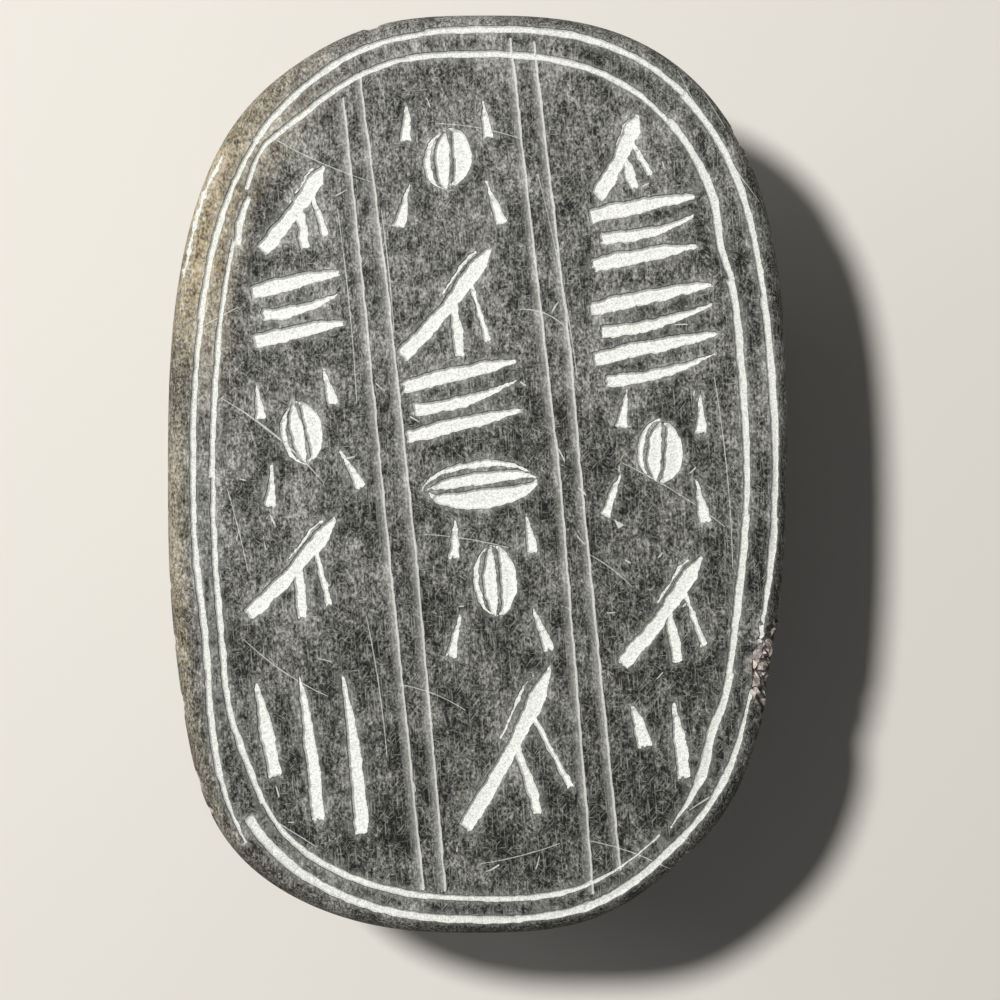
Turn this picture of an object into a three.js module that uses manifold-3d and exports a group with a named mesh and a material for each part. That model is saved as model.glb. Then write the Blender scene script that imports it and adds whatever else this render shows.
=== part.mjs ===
// A large scarab amulet carved from one block of soapstone, in millimetres, +Z up.
// It lies as it does when it is put down: on the crown of the beetle's back, with the flat
// inscribed underside up. The beetle's head points to +Y, and the origin is on the floor.
import * as THREE from "three";
import { mergeVertices } from "three/addons/utils/BufferGeometryUtils.js";
import Module from "manifold-3d";

const wasm = await Module();
wasm.setup();

// ---------------------------------------------------------------- driving dimensions
const LENGTH = 79.6;
const WIDTH = 53.8;
const HEIGHT = 30;
const FULLNESS = 2.75;
const AROUND = 72;

// The oval was cut by eye: it stands proud of a true one here and falls short of it there.
const LUMPS = [
  { at: 50, height: 0.6, spread: 20 },
  { at: 113, height: -0.55, spread: 10 },
  { at: 234, height: 1.3, spread: 13 },
  { at: 296, height: -0.8, spread: 10 },
  { at: 328, height: -0.45, spread: 20 },
];

// Plate: the inscribed slab under the beetle, with a rubbed upper edge.
const EDGE_WIDTH = 1.4;
const EDGE_DROP = 2.0;
const PLATE_DEPTH = 5.6;

// Flank: the recessed band between plate and back, with the legs in relief on it.
const FLANK_INSET = 4.2;
const FLANK_DEPTH = 14.6;
const FLANK_FALL = 0.4;
const FLANK_FALL_FROM = 18;

// Back: the domed wing cases and thorax. Its front end stops behind the head.
const BACK_INSET = 2.6;
const BACK_DEPTH = 14.2;
const BACK_FRONT = 25.5;
const BACK_ROUNDNESS = 2.2;
const CROWN_TIER = 77;

// Head: a low shield in front of the thorax, with a toothed front rim and two eyes.
const HEAD_AT = 25.5;
const HEAD_WIDTH = 21;
const HEAD_REACH = 12.3;
const HEAD_SLOPE = 0.3;
const HEAD_TEETH = 5;
const TOOTH_DEPTH = 0.8;
const EYE_RADIUS = 2;

// Engraving.
const GOUGE_DEPTH = 0.45;
const GOUGE_FLOOR = 0.45;
const LINE_WIDTH = 0.7;
const LINE_DEPTH = 0.4;
const RULE_WIDTH = 0.8;
const RULE_DEPTH = 0.3;
const OVERCUT = 0.3;

const turn = THREE.MathUtils.degToRad;

// ---------------------------------------------------------------- solids
// Any closed geometry becomes a solid once its shared corners are one.
function solidOf(geometry) {
  const bare = new THREE.BufferGeometry();
  bare.setAttribute("position", geometry.getAttribute("position"));
  bare.setIndex(geometry.getIndex());
  const merged = mergeVertices(bare, 1e-4);
  const vertProperties = new Float32Array(merged.getAttribute("position").array);
  const triVerts = new Uint32Array(merged.getIndex().array);
  return new wasm.Manifold(new wasm.Mesh({ numProp: 3, vertProperties, triVerts }));
}

function signedVolume(points, triangles) {
  const cross = new THREE.Vector3();
  return triangles.reduce((sum, [a, b, c]) => {
    cross.crossVectors(points[b], points[c]);
    return sum + points[a].dot(cross) / 6;
  }, 0);
}

function middleOf(ring) {
  const middle = new THREE.Vector3();
  ring.forEach((point) => middle.add(point));
  return middle.divideScalar(ring.length);
}

// A solid skinned over a row of rings with equally many points. The ends are closed by a fan,
// or the last ring joins the first one.
function skin(rings, joined = false) {
  const count = rings[0].length;
  const points = rings.flat();
  const triangles = [];
  const bands = joined ? rings.length : rings.length - 1;
  for (let band = 0; band < bands; band += 1) {
    const here = band * count;
    const there = ((band + 1) % rings.length) * count;
    for (let i = 0; i < count; i += 1) {
      const j = (i + 1) % count;
      triangles.push([here + i, here + j, there + j], [here + i, there + j, there + i]);
    }
  }
  if (!joined) {
    const last = (rings.length - 1) * count;
    const first = points.push(middleOf(rings[0])) - 1;
    const end = points.push(middleOf(rings.at(-1))) - 1;
    for (let i = 0; i < count; i += 1) {
      const j = (i + 1) % count;
      triangles.push([first, j, i], [end, last + i, last + j]);
    }
  }
  const faces = signedVolume(points, triangles) < 0 ? triangles.map(([a, b, c]) => [a, c, b]) : triangles;
  const geometry = new THREE.BufferGeometry().setFromPoints(points);
  geometry.setIndex(faces.flat());
  return solidOf(geometry);
}

const joinAll = (solids) => solids.reduce((whole, solid) => whole.add(solid));

// ---------------------------------------------------------------- outline
// Angles are in degrees, counter-clockwise from +X as seen from above.
function bump(angle, { at, height, spread }) {
  const away = ((angle - at + 540) % 360) - 180;
  return height * Math.exp(-((away / spread) ** 2));
}

function outlineRadius(angle) {
  const across = Math.abs(Math.cos(turn(angle)) / (WIDTH / 2)) ** FULLNESS;
  const along = Math.abs(Math.sin(turn(angle)) / (LENGTH / 2)) ** FULLNESS;
  const oval = (across + along) ** (-1 / FULLNESS);
  return LUMPS.reduce((radius, lump) => radius + bump(angle, lump), oval);
}

function rimPoint(angle, inset, z) {
  const radius = outlineRadius(angle) - inset;
  return new THREE.Vector3(radius * Math.cos(turn(angle)), radius * Math.sin(turn(angle)), z);
}

const angles = Array.from({ length: AROUND }, (_, i) => (360 * i) / AROUND);
const rimRing = (inset, depth) => angles.map((angle) => rimPoint(angle, inset, HEIGHT - depth));

// ---------------------------------------------------------------- plate
function makePlate() {
  const steps = [0, 30, 60, 90];
  const rubbedEdge = steps.map((step) => {
    const inset = EDGE_WIDTH * (1 - Math.sin(turn(step)));
    const depth = EDGE_DROP * (1 - Math.cos(turn(step)));
    return rimRing(inset, depth);
  });
  return skin([...rubbedEdge, rimRing(0.25, PLATE_DEPTH - 0.7), rimRing(1, PLATE_DEPTH)]);
}

// ---------------------------------------------------------------- flank and legs
// In front the flank falls away on both sides of the head.
function flankTop(y) {
  return FLANK_DEPTH - FLANK_FALL * Math.max(0, y - FLANK_FALL_FROM);
}

function makeFlank() {
  const foot = rimRing(FLANK_INSET, PLATE_DEPTH - 1);
  const top = foot.map((point) => new THREE.Vector3(point.x, point.y, HEIGHT - flankTop(point.y)));
  return skin([foot, top]);
}

// Each leg is a bar with rubbed edges, bent along the flank from under the back to the plate.
// A station is an angle, a depth below the inscribed face and the leg's width there.
const LEGS = [
  [[15, 15.6, 4.6], [27, 14.2, 5.6], [40, 13.0, 5.6], [53, 11.2, 4.8], [64, 9.4, 4.0], [75, 7.0, 3.0]],
  [[11, 15.4, 4.0], [3, 12.0, 5.0], [-7, 8.8, 4.0], [-14, 5.0, 2.8]],
  [[-2, 15.6, 4.4], [-16, 13.8, 5.8], [-33, 11.4, 5.2], [-50, 8.4, 4.0], [-64, 5.0, 2.8]],
];
const LEG_ROOT = -2.4;
const LEG_SHOULDER = 0.8;
const LEG_RISE = 1.6;
const LEG_STEPS = 7;

function legSection(station, ahead, mirrored) {
  const place = ({ x, y }) => rimPoint(mirrored ? 180 - x : x, FLANK_INSET, HEIGHT - y);
  const here = place(station);
  const outward = new THREE.Vector3(here.x, here.y, 0).normalize();
  const along = place(ahead).sub(here).normalize();
  const across = new THREE.Vector3().crossVectors(outward, along).normalize();
  const half = station.z / 2;
  const profile = [
    [-half, LEG_ROOT],
    [-half, LEG_SHOULDER],
    [-half * 0.6, LEG_RISE],
    [half * 0.6, LEG_RISE],
    [half, LEG_SHOULDER],
    [half, LEG_ROOT],
  ];
  return profile.map(([side, out]) => {
    return here.clone().addScaledVector(across, side).addScaledVector(outward, out);
  });
}

function makeLeg(stations, mirrored) {
  const route = new THREE.CatmullRomCurve3(stations.map((station) => new THREE.Vector3(...station)));
  const sections = [];
  for (let step = 0; step <= LEG_STEPS; step += 1) {
    const along = 0.98 * (step / LEG_STEPS);
    sections.push(legSection(route.getPoint(along), route.getPoint(along + 0.02), mirrored));
  }
  return skin(sections);
}

const makeLegs = () => LEGS.flatMap((stations) => [makeLeg(stations, false), makeLeg(stations, true)]);

// ---------------------------------------------------------------- back
// The crown ends in a small flat spot, which keeps the amulet from rolling.
const backBase = HEIGHT - BACK_DEPTH;
const backRise = backBase / Math.sin(turn(CROWN_TIER)) ** (2 / BACK_ROUNDNESS);
const backSqueeze = BACK_FRONT / (outlineRadius(90) - BACK_INSET);

function backRing(share, z) {
  return angles.map((angle) => {
    const point = rimPoint(angle, BACK_INSET, z);
    const squeeze = point.y > 0 ? backSqueeze : 1;
    return new THREE.Vector3(point.x * share, point.y * share * squeeze, z);
  });
}

function makeBack() {
  const rings = [backRing(0.9, HEIGHT - PLATE_DEPTH), backRing(0.92, backBase + 1), backRing(0.985, backBase + 0.5)];
  const tiers = [0, 12, 25, 38, 51, 64, CROWN_TIER];
  tiers.forEach((tier) => {
    const share = Math.cos(turn(tier)) ** (2 / BACK_ROUNDNESS);
    const rise = Math.sin(turn(tier)) ** (2 / BACK_ROUNDNESS);
    rings.push(backRing(share, backBase - backRise * rise));
  });
  return skin(rings);
}

// The point of the back's surface over a place in plan.
function backPoint(x, y) {
  const stretched = y > 0 ? y / backSqueeze : y;
  const edge = outlineRadius(THREE.MathUtils.radToDeg(Math.atan2(stretched, x))) - BACK_INSET;
  const share = Math.min(0.998, Math.hypot(x, stretched) / edge);
  const rise = (1 - share ** BACK_ROUNDNESS) ** (1 / BACK_ROUNDNESS);
  return new THREE.Vector3(x, y, Math.max(0, backBase - backRise * rise));
}

// A V-shaped groove that follows the back under a row of places in plan.
function backGroove(places, widths, depth) {
  const route = places.map(([x, y]) => backPoint(x, y));
  const sections = route.map((here, i) => {
    const along = route[Math.min(i + 1, route.length - 1)].clone().sub(route[Math.max(i - 1, 0)]).normalize();
    const nudge = 0.05;
    const east = backPoint(here.x + nudge, here.y).sub(backPoint(here.x - nudge, here.y));
    const north = backPoint(here.x, here.y + nudge).sub(backPoint(here.x, here.y - nudge));
    const outward = north.cross(east).normalize();
    const across = new THREE.Vector3().crossVectors(outward, along).normalize();
    const half = widths[i] * 0.5 * (1 + OVERCUT / depth);
    return [
      here.clone().addScaledVector(across, half).addScaledVector(outward, OVERCUT),
      here.clone().addScaledVector(across, -half).addScaledVector(outward, OVERCUT),
      here.clone().addScaledVector(outward, -depth),
    ];
  });
  return skin(sections);
}

const THORAX_LINE = 8.5;
const THORAX_BOW = 2.2;
const SUTURE_END = -36.6;

function makeBackGrooves() {
  const halfWidth = WIDTH / 2 - BACK_INSET;
  const steps = Array.from({ length: 17 }, (_, i) => -80 + 10 * i);
  const thorax = steps.map((step) => {
    const share = Math.sin(turn(step));
    return [share * halfWidth, THORAX_LINE + THORAX_BOW * share ** 2];
  });
  const suture = steps.map((step) => {
    const share = (1 + Math.sin(turn(step))) / 2;
    return [0, THORAX_LINE - 1 + (SUTURE_END - THORAX_LINE + 1) * share];
  });
  const shoulders = [-1, 1].map((side) => {
    const places = [0, 1, 2, 3].map((i) => [side * (12.4 + 1.5 * i), THORAX_LINE + 0.4 - 1.7 * i]);
    return backGroove(places, [2.6, 2.2, 1.5, 0.4], 0.8);
  });
  return [
    backGroove(thorax, steps.map(() => 1.5), 0.9),
    backGroove(suture, steps.map(() => 1.2), 0.7),
    ...shoulders,
  ];
}

// ---------------------------------------------------------------- head
function headRadius(angle) {
  const sweep = Math.min(1, Math.max(0, (angle - 40) / 100));
  const tooth = angle > 40 && angle < 140 ? Math.abs(Math.sin(Math.PI * HEAD_TEETH * sweep)) : 0;
  return 1 + (TOOTH_DEPTH * tooth - 0.4) / HEAD_REACH;
}

function makeHead() {
  const spokes = Array.from({ length: 60 }, (_, i) => 6 * i);
  // Each tier is a share of the plan and a depth below the inscribed face.
  const tiers = [[1, PLATE_DEPTH - 1], [1, 8.2], [0.93, 9.6], [0.78, 10.8], [0.5, 11.5]];
  const rings = tiers.map(([share, depth], tier) => spokes.map((spoke) => {
    const x = (HEAD_WIDTH / 2) * share * headRadius(spoke) * Math.cos(turn(spoke));
    const y = HEAD_AT + HEAD_REACH * share * headRadius(spoke) * Math.sin(turn(spoke));
    const slope = tier === 0 ? 0 : HEAD_SLOPE * (HEAD_AT + HEAD_REACH - y);
    return new THREE.Vector3(x, y, HEIGHT - depth - slope);
  }));
  return skin(rings);
}

function makeEyes() {
  return [-1, 1].map((side) => {
    const eye = new THREE.SphereGeometry(EYE_RADIUS, 12, 8);
    eye.scale(0.8, 1.3, 1);
    eye.translate(side * (HEAD_WIDTH / 2 - 0.9), HEAD_AT + 2.4, HEIGHT - 11.6);
    return solidOf(eye);
  });
}

// ---------------------------------------------------------------- engraving on the plate
// Left and right edge of a cut at each place along it, from its path and its widths.
function edgesOf(path, widths) {
  return path.map((here, i) => {
    const along = path[Math.min(i + 1, path.length - 1)].clone().sub(path[Math.max(i - 1, 0)]).normalize();
    const across = new THREE.Vector2(-along.y, along.x);
    return { here, across, half: widths[i] / 2 };
  });
}

// A cut with sloping walls and a floor of its own share of the width, or none for a V.
function cut(path, widths, depth, floorShare, joined = false) {
  const lip = 1 + (1 - floorShare) * (OVERCUT / depth);
  const at = ({ here, across }, side, z) => {
    const place = here.clone().addScaledVector(across, side);
    return new THREE.Vector3(place.x, place.y, z);
  };
  const sections = edgesOf(path, widths).map((edge) => {
    const lips = [at(edge, edge.half * lip, HEIGHT + OVERCUT), at(edge, -edge.half * lip, HEIGHT + OVERCUT)];
    if (floorShare === 0) {
      return [...lips, at(edge, 0, HEIGHT - depth)];
    }
    const floor = edge.half * floorShare;
    return [...lips, at(edge, -floor, HEIGHT - depth), at(edge, floor, HEIGHT - depth)];
  });
  return skin(sections, joined);
}

// One push of the gouge: from one place to another, swelling or tapering, and bowed to one side.
function gouge(from, to, widths, bow = 0) {
  const start = new THREE.Vector2(...from);
  const end = new THREE.Vector2(...to);
  const side = end.clone().sub(start).rotateAround(new THREE.Vector2(), Math.PI / 2).normalize();
  const middle = start.clone().add(end).multiplyScalar(0.5).addScaledVector(side, 2 * bow);
  const path = new THREE.QuadraticBezierCurve(start, middle, end).getPoints(widths.length - 1);
  return { path, widths };
}

// An oval scraped out in one piece.
function scrape(width, length) {
  const shares = [0, 0.15, 0.35, 0.5, 0.65, 0.85, 1];
  const path = shares.map((share) => new THREE.Vector2(0, length * (0.5 - share)));
  const widths = shares.map((share) => Math.max(0.25 * width, width * Math.sqrt(1 - (2 * share - 1) ** 2)));
  return { path, widths };
}

// The groups of strokes, each round its own middle. None of them is a letter.
const rake = () => [
  gouge([3.1, 4.4], [-3.3, -4.4], [0.8, 1.4, 1.5, 1.3], 0.35),
  gouge([0.4, 1.0], [1.2, -4.4], [0.5, 1.1]),
  gouge([1.9, 1.6], [3.0, -2.4], [0.8, 0.3]),
];

function stack(count, length) {
  return Array.from({ length: count }, (_, i) => {
    const y = 2.15 * ((count - 1) / 2 - i);
    const heavy = i % 2 === 0;
    const widths = heavy ? [1.3, 1.4, 0.7] : [0.4, 1.0, 1.2, 1.3];
    return gouge([-length / 2, y - 0.6], [length / 2, y + 0.6], widths, heavy ? 0 : 0.5);
  });
}

function pod(width, length) {
  const wedges = [-1, 1].flatMap((side) => {
    const out = side * (width / 2 + 1.1);
    return [
      gouge([out, length / 2 + 2.7], [out + 0.3 * side, length / 2 - 1.0], [0.3, 1.1]),
      gouge([out, -length / 2 + 0.6], [out + 1.3 * side, -length / 2 - 3.6], [0.3, 1.2]),
    ];
  });
  return [scrape(width, length), ...wedges];
}

function posts(count, length) {
  return Array.from({ length: count }, (_, i) => {
    const x = 3.7 * (i - (count - 1) / 2);
    const drop = i === 0 ? 0.6 : 0;
    return gouge([x - 0.6, length / 2 - drop], [x + 0.6, -length / 2 + drop], [0.3, 1.2, 1.3]);
  });
}

const lens = (width, length) => [scrape(width, length)];

// Three columns of groups: the group, the place of its middle, its turn and its size.
const INSCRIPTION = [
  { marks: rake(), x: -15.9, y: 22.9, lean: 0, size: 0.85 },
  { marks: stack(3, 8), x: -15.6, y: 14.4, lean: 3, size: 1 },
  { marks: pod(4.3, 5.8), x: -15.2, y: 3.6, lean: 12, size: 0.9 },
  { marks: rake(), x: -16, y: -8, lean: -6, size: 1.05 },
  { marks: posts(3, 11.5), x: -14.6, y: -23, lean: 0, size: 1 },
  { marks: pod(4.7, 5.2), x: -2.6, y: 27.2, lean: 2, size: 0.95 },
  { marks: rake(), x: -2.7, y: 14.8, lean: -3, size: 1.12 },
  { marks: stack(3, 10.4), x: -1.4, y: 6.5, lean: 6, size: 1 },
  { marks: lens(4.4, 9.6), x: 0.2, y: -0.9, lean: 95, size: 1 },
  { marks: pod(4.3, 6.4), x: 1.5, y: -9.2, lean: 4, size: 0.95 },
  { marks: rake(), x: 2.6, y: -23.6, lean: 8, size: 1.45 },
  { marks: rake(), x: 12.1, y: 27.4, lean: 10, size: 0.75 },
  { marks: stack(3, 9.4), x: 14.3, y: 21, lean: 3, size: 1 },
  { marks: stack(4, 11), x: 15.2, y: 12.1, lean: 5, size: 1 },
  { marks: pod(4.5, 5.5), x: 15.7, y: 2, lean: -4, size: 0.95 },
  { marks: rake(), x: 15.9, y: -11.8, lean: 0, size: 1.08 },
  { marks: posts(2, 5.8), x: 15.6, y: -22.2, lean: -6, size: 0.95 },
];

function cutGroup({ marks, x, y, lean, size }) {
  const middle = new THREE.Vector2(x, y);
  return marks.map(({ path, widths }) => {
    const placed = path.map((point) => {
      return point.clone().multiplyScalar(size).rotateAround(new THREE.Vector2(), turn(lean)).add(middle);
    });
    return cut(placed, widths, GOUGE_DEPTH, GOUGE_FLOOR);
  });
}

// Column rules: two pairs of long straight scores that lean together, from the top to the bottom.
const RULES = [
  [[-11.9, 32.5], [-10.1, 15], [-7.9, -7.4], [-5.0, -36]],
  [[-10.5, 34.6], [-8, 15], [-5.6, -7.4], [-3.1, -36.1]],
  [[2.5, 37.6], [5.6, 9.8], [6.8, -0.5], [9.65, -36.3]],
  [[4.5, 37.4], [7.75, 9.8], [8.6, -0.5], [12, -34.3]],
];

function cutRule(places) {
  const path = places.map((place) => new THREE.Vector2(...place));
  return cut(path, path.map(() => RULE_WIDTH), RULE_DEPTH, 0);
}

// Rim lines: two scores that go round the plate freehand, so that their inset from the edge wanders.
// A wave is [how many times round, how strong, at which angle it is strongest].
const RIM_CUTS = 80;
const RIM_LINES = [
  {
    inset: 1.97,
    waves: [[1, 0.6, 175], [2, 0.17, 13], [4, 0.39, 44]],
    slips: [{ at: 128, height: 0.3, spread: 12 }, { at: 210, height: 0.3, spread: 9 }],
  },
  {
    inset: 4.1,
    waves: [[1, 0.28, 132], [2, 0.28, 19], [4, 0.5, 46]],
    slips: [
      { at: 232, height: 0.8, spread: 7 },
      { at: 124, height: -0.8, spread: 5 },
      { at: 312, height: 0.6, spread: 4 },
      { at: 43, height: 0.7, spread: 5 },
    ],
  },
];

function cutRimLine({ inset, waves, slips }) {
  const path = Array.from({ length: RIM_CUTS }, (_, i) => {
    const angle = (360 * i) / RIM_CUTS;
    const drift = waves.reduce((sum, [times, strength, peak]) => {
      return sum + strength * Math.cos(turn(times * (angle - peak)));
    }, inset);
    const wander = slips.reduce((sum, slip) => sum + bump(angle, slip), drift);
    const { x, y } = rimPoint(angle, wander, 0);
    return new THREE.Vector2(x, y);
  });
  return cut(path, path.map(() => LINE_WIDTH), LINE_DEPTH, 0, true);
}

// ---------------------------------------------------------------- damage
// A rough chip is broken out of the right side of the rim.
function makeChip() {
  const lump = new THREE.IcosahedronGeometry(1, 1);
  const bare = new THREE.BufferGeometry();
  bare.setAttribute("position", lump.getAttribute("position"));
  const closed = mergeVertices(bare, 1e-4);
  closed.scale(1.5, 3.2, 2.2);
  closed.rotateZ(turn(-14));
  closed.translate(outlineRadius(-34) * Math.cos(turn(-34)) + 0.35, outlineRadius(-34) * Math.sin(turn(-34)), HEIGHT);
  return solidOf(closed);
}

// ---------------------------------------------------------------- amulet
function makeScarab() {
  const beetle = joinAll([makePlate(), makeFlank(), makeBack(), makeHead(), ...makeEyes(), ...makeLegs()]);
  const cuts = [
    ...makeBackGrooves(),
    ...RIM_LINES.map(cutRimLine),
    ...RULES.map(cutRule),
    ...INSCRIPTION.flatMap(cutGroup),
    makeChip(),
  ];
  return beetle.subtract(joinAll(cuts));
}

const soapstone = new THREE.MeshStandardMaterial({ color: 0x4d4d4a, roughness: 0.55, metalness: 0 });

function meshOf(name, solid, material) {
  const { vertProperties, triVerts } = solid.getMesh();
  const geometry = new THREE.BufferGeometry();
  geometry.setAttribute("position", new THREE.BufferAttribute(new Float32Array(vertProperties), 3));
  geometry.setIndex(new THREE.BufferAttribute(new Uint32Array(triVerts), 1));
  geometry.computeVertexNormals();
  const mesh = new THREE.Mesh(geometry, material);
  mesh.name = name;
  return mesh;
}

const amulet = new THREE.Group();
amulet.add(meshOf("scarab", makeScarab(), soapstone));

export default amulet;
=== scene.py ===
import bpy
import bmesh
import math
import numpy as np
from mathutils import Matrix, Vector, kdtree, noise
from mathutils.geometry import delaunay_2d_cdt


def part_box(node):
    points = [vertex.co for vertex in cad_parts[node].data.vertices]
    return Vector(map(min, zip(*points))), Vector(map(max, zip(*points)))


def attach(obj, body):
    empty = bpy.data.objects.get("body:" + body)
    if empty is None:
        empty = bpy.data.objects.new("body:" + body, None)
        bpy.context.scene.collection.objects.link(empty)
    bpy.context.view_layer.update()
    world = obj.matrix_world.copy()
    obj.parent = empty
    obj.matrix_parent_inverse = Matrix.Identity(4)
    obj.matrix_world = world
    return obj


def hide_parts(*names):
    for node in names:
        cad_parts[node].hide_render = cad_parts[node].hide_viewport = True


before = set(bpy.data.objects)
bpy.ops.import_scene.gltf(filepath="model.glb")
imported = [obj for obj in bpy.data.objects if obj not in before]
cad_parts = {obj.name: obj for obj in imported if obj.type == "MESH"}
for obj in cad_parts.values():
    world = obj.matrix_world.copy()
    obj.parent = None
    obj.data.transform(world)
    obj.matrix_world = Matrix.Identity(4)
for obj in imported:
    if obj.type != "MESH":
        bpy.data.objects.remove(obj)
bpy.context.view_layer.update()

# A large scarab amulet carved from one block of soapstone. Lengths are in millimetres until a mesh is
# made from them, +Y is towards the beetle's head, and the inscribed underside faces up.
MM = 0.001
LOW, HIGH = (np.array(corner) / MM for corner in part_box("scarab"))
FACE = float(HIGH[2])
HALF_WIDTH = float(HIGH[0] - LOW[0]) / 2
HALF_LENGTH = 39.8
FULLNESS = 2.75
chance = np.random.default_rng(11)

# The oval was cut by eye: it stands proud of a true one here and falls short of it there.
LUMPS = ((50, 0.6, 20), (113, -0.55, 10), (234, 1.3, 13), (296, -0.8, 10), (328, -0.45, 20))

# The plate: its rubbed upper edge, its height, and where its face is joined to the rest of the stone.
EDGE_WIDTH = 1.4
EDGE_DROP = 2.0
PLATE_DEPTH = 5.6
SEAM_DEPTH = 1.2

GOUGE_DEPTH = 0.5
LINE_DEPTH = 0.42
RULE_DEPTH = 0.3
SCRATCH_DEPTH = 0.06


# ---------------------------------------------------------------- outline
def bump(angle, at, height, spread):
    away = (angle - at + 540) % 360 - 180
    return height * np.exp(-((away / spread) ** 2))


def outline_radius(angle):
    turn = np.radians(angle)
    across = np.abs(np.cos(turn) / HALF_WIDTH) ** FULLNESS
    along = np.abs(np.sin(turn) / HALF_LENGTH) ** FULLNESS
    radius = (across + along) ** (-1 / FULLNESS)
    for lump in LUMPS:
        radius = radius + bump(angle, *lump)
    return radius


def angle_of(points):
    return np.degrees(np.arctan2(points[:, 1], points[:, 0]))


def inset_of(points):
    return outline_radius(angle_of(points)) - np.hypot(points[:, 0], points[:, 1])


def rim_points(angles, insets):
    radius = outline_radius(angles) - insets
    return np.column_stack((radius * np.cos(np.radians(angles)), radius * np.sin(np.radians(angles))))


def edge_depth(inset):
    """How far the rubbed edge lies below the face at an inset from the outline."""
    share = 1 - np.clip(inset / EDGE_WIDTH, 0, 1)
    return EDGE_DROP * (1 - np.sqrt(1 - share ** 2))


def edge_inset(depth):
    """The plate's side: its inset from the outline at a depth below the face."""
    share = 1 - np.clip(depth / EDGE_DROP, 0, 1)
    rubbed = EDGE_WIDTH * (1 - np.sqrt(1 - share ** 2))
    taper = 0.25 * np.clip((depth - EDGE_DROP) / (PLATE_DEPTH - 0.7 - EDGE_DROP), 0, 1)
    return rubbed + taper


# ---------------------------------------------------------------- cuts
# A cut is a path with a half-width at each place along it. Its kind sets how it is shaped and how pale it is.
def wavy(places, size, length):
    """A ragged line: small swings of about the given size and length, different each time."""
    start = float(chance.uniform(0, 900))
    return 2 * size * np.array([noise.noise(Vector((start + at / length, 7.3, 1.7))) for at in places])


def resample(path, widths, step):
    """The path in even steps, with closer ones at both ends."""
    path = np.asarray(path, float)
    lengths = np.concatenate(([0], np.cumsum(np.hypot(*np.diff(path, axis=0).T))))
    total = lengths[-1]
    inner = np.linspace(0, total, max(4, int(total / step) + 1))
    close = np.arange(0.08, min(0.6, total / 3), 0.13)
    inner = inner[(inner > 0.66) & (inner < total - 0.66)]
    places = np.unique(np.concatenate(([0], close, inner, total - close, [total])))
    smooth = np.column_stack([np.interp(places, lengths, path[:, axis]) for axis in (0, 1)])
    return smooth, np.interp(places, lengths, widths), places


class Cut:
    def __init__(self, path, widths, kind, depth, ragged=0.075, step=0.18):
        self.path, full, self.where = resample(path, widths, step)
        self.kind = kind
        self.depth = depth
        along = np.gradient(self.path, self.where, axis=0)
        self.along = along / np.maximum(np.hypot(*along.T), 1e-9)[:, None]
        self.across = np.column_stack((-self.along[:, 1], self.along[:, 0]))
        total = self.where[-1]
        self.half = []
        for _ in range(2):
            side = full / 2 + wavy(self.where, ragged, 1.1) + wavy(self.where, 0.75 * ragged, 0.28)
            for gap in (self.where, total - self.where):
                worn, reach = chance.uniform(0.05, 0.55), chance.uniform(0.3, 0.8) * full.max() / 2
                side = side * (1 - worn * np.clip(1 - gap / reach, 0, 1) ** 2)
            self.half.append(np.maximum(side, 0.03))
        self.half = np.array(self.half)
        # The two ends are broken off a little ragged: their offset at a few places across the cut.
        self.tip = np.linspace(-1, 1, 6)
        self.torn = np.abs(chance.normal(0, min(1, full.max()) * ragged * 1.4, (2, 6)))

    def contour(self, inset):
        """The outline of the cut at an inset from its edge, or nothing where it is too thin for one."""
        wide = np.minimum(*self.half) > inset + 0.02
        far = (self.where > inset + 0.03) & (self.where < self.where[-1] - inset - 0.03)
        keep = np.flatnonzero(wide & far)
        if len(keep) < 3:
            return None
        left = (self.path + self.across * (self.half[0] - inset)[:, None])[keep]
        right = (self.path - self.across * (self.half[1] - inset)[:, None])[keep]
        return np.vstack((left, self.end(keep[-1], 1, inset), right[::-1], self.end(keep[0], 0, inset)))

    def end(self, i, last, inset):
        """The torn end of the contour, from one side of the cut to the other."""
        place = -1 if last else 0
        if abs(self.where[i] - self.where[place]) > inset + 0.2:
            return np.empty((0, 2))
        half = self.half[:, place]
        across = self.tip * half.mean()
        inner = (across > inset + 0.04 - half[1]) & (across < half[0] - inset - 0.04)
        if not inner.any():
            return np.empty((0, 2))
        back = (inset + self.torn[last]) * (-1 if last else 1)
        row = self.path[place] + self.across[place] * across[:, None] + self.along[place] * back[:, None]
        row = row[inner]
        return row[::-1] if last else row

    def reach(self, points):
        """For each point: how far it is inside the cut's edge, and where it lies across it and along it."""
        gap = points[:, None, :] - self.path[None, :, :]
        nearest = np.argmin((gap ** 2).sum(axis=2), axis=1)
        near = gap[np.arange(len(points)), nearest]
        side = (near * self.across[nearest]).sum(axis=1)
        ahead = (near * self.along[nearest]).sum(axis=1)
        place = self.where[nearest] + ahead
        left = np.interp(place, self.where, self.half[0])
        right = np.interp(place, self.where, self.half[1])
        inside = np.minimum(left - side, right + side)
        start = np.interp(side, self.tip * self.half[:, 0].mean(), self.torn[0])
        stop = np.interp(side, self.tip * self.half[:, -1].mean(), self.torn[1])
        inside = np.minimum(inside, np.minimum(place - start, self.where[-1] - stop - place))
        return inside, side, place, (left + right) / 2

    def box(self, margin):
        reach = self.half.max() + margin
        return self.path.min(axis=0) - reach, self.path.max(axis=0) + reach


def bowed(start, end, bow, count=24):
    start, end = np.array(start, float), np.array(end, float)
    chord = end - start
    side = np.array((-chord[1], chord[0])) / np.hypot(*chord)
    middle = (start + end) / 2 + side * 2 * bow
    t = np.linspace(0, 1, count)[:, None]
    return (1 - t) ** 2 * start + 2 * t * (1 - t) * middle + t ** 2 * end


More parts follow.
